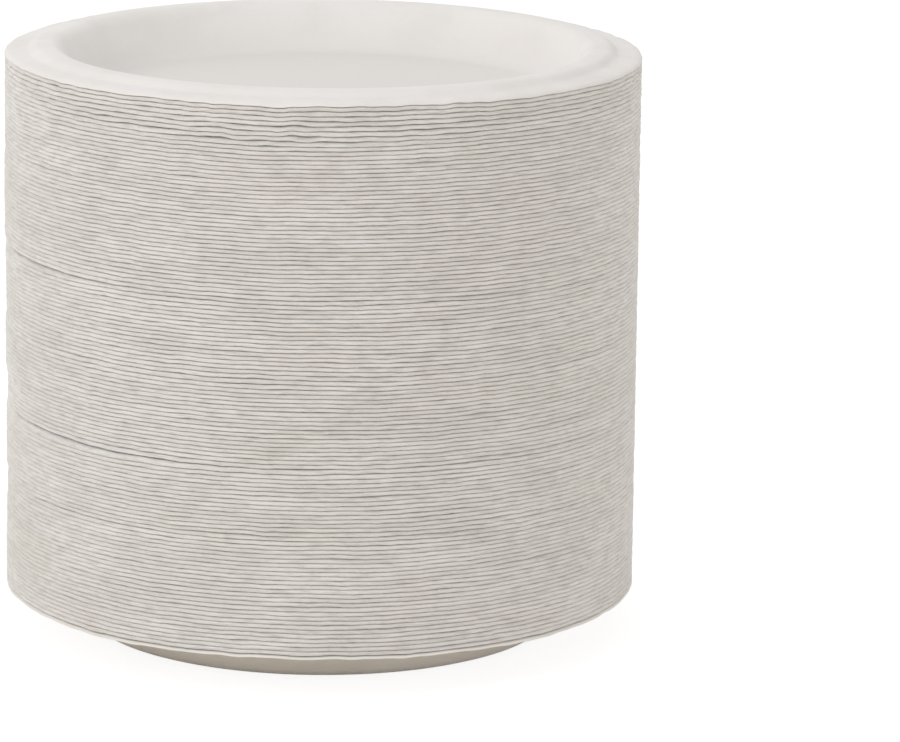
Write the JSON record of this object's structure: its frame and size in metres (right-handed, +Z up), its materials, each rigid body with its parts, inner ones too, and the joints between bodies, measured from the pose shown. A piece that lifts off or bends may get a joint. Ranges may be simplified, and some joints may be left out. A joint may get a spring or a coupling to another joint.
{
  "type": "stack of paper plates",
  "caption": "Stack of nested round plates pressed from plant fibre, each with a flat rim, a turned-down lip and a shallow well; it stands on the lowest plate's base.",
  "frame": {"origin": "centre of the lowest plate's flat underside, which the stack stands on", "axes": "+Z up along the axis that all the plates share; the plates are round, so X and Y are any two level directions"},
  "size_m": [0.2286, 0.2286, 0.2121],
  "materials": {
    "top_plate_fibre": "pressed plant fibre, matt and smooth",
    "plate_fibre": "pressed plant fibre, matt, with cut edges"
  },
  "bodies": {
    "root": {"top_plate": "top_plate_fibre", "plates_below": "plate_fibre"}
  },
  "joints": []
}
